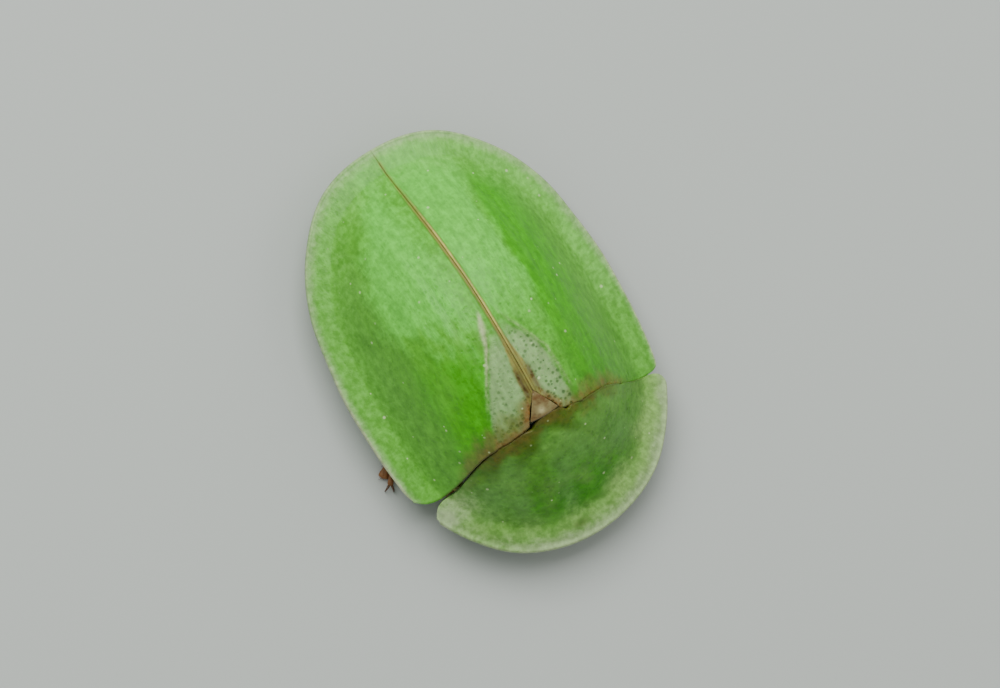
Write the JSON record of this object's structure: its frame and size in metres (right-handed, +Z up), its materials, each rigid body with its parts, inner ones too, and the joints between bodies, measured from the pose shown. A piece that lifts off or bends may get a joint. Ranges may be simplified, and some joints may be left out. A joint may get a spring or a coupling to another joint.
{
  "type": "tortoise beetle model",
  "caption": "Life-size still model of a green thistle tortoise beetle at rest, legs and head tucked under a domed shell with a wide flat rim.",
  "frame": {"origin": "on the floor under the middle of the bounding box", "axes": "+Z up, the head towards -Y, the animal's right side towards -X"},
  "size_m": [0.005, 0.0072, 0.0027],
  "materials": {
    "shell": "satin green wing cases and pronotum, finely pitted, paler and slightly translucent at the flat rim",
    "scutellum": "satin brownish pink",
    "body": "satin black underside of the thorax",
    "abdomen": "satin black with a narrow yellow-green border",
    "head": "satin black, finely pitted",
    "eye": "glossy black, faceted",
    "antenna": "yellow-brown with a darker, finely hairy club",
    "femur": "satin yellow-green, black at the base",
    "tibia": "satin yellow-green",
    "tarsus": "yellow-brown, hairy below, dark claws"
  },
  "bodies": {
    "root": {"elytron_left": "shell", "elytron_right": "shell", "scutellum": "scutellum", "pronotum": "shell", "abdomen": "abdomen", "pterothorax": "body", "prothorax": "body", "head": "head", "eye_left": "eye", "eye_right": "eye", "antenna_left": "antenna", "antenna_right": "antenna", "leg_front_left_femur": "femur", "leg_front_left_tibia": "tibia", "leg_front_left_tarsus": "tarsus", "leg_front_right_femur": "femur", "leg_front_right_tibia": "tibia", "leg_front_right_tarsus": "tarsus", "leg_middle_left_femur": "femur", "leg_middle_left_tibia": "tibia", "leg_middle_left_tarsus": "tarsus", "leg_middle_right_femur": "femur", "leg_middle_right_tibia": "tibia", "leg_middle_right_tarsus": "tarsus", "leg_hind_left_femur": "femur", "leg_hind_left_tibia": "tibia", "leg_hind_left_tarsus": "tarsus", "leg_hind_right_femur": "femur", "leg_hind_right_tibia": "tibia", "leg_hind_right_tarsus": "tarsus"}
  },
  "joints": []
}
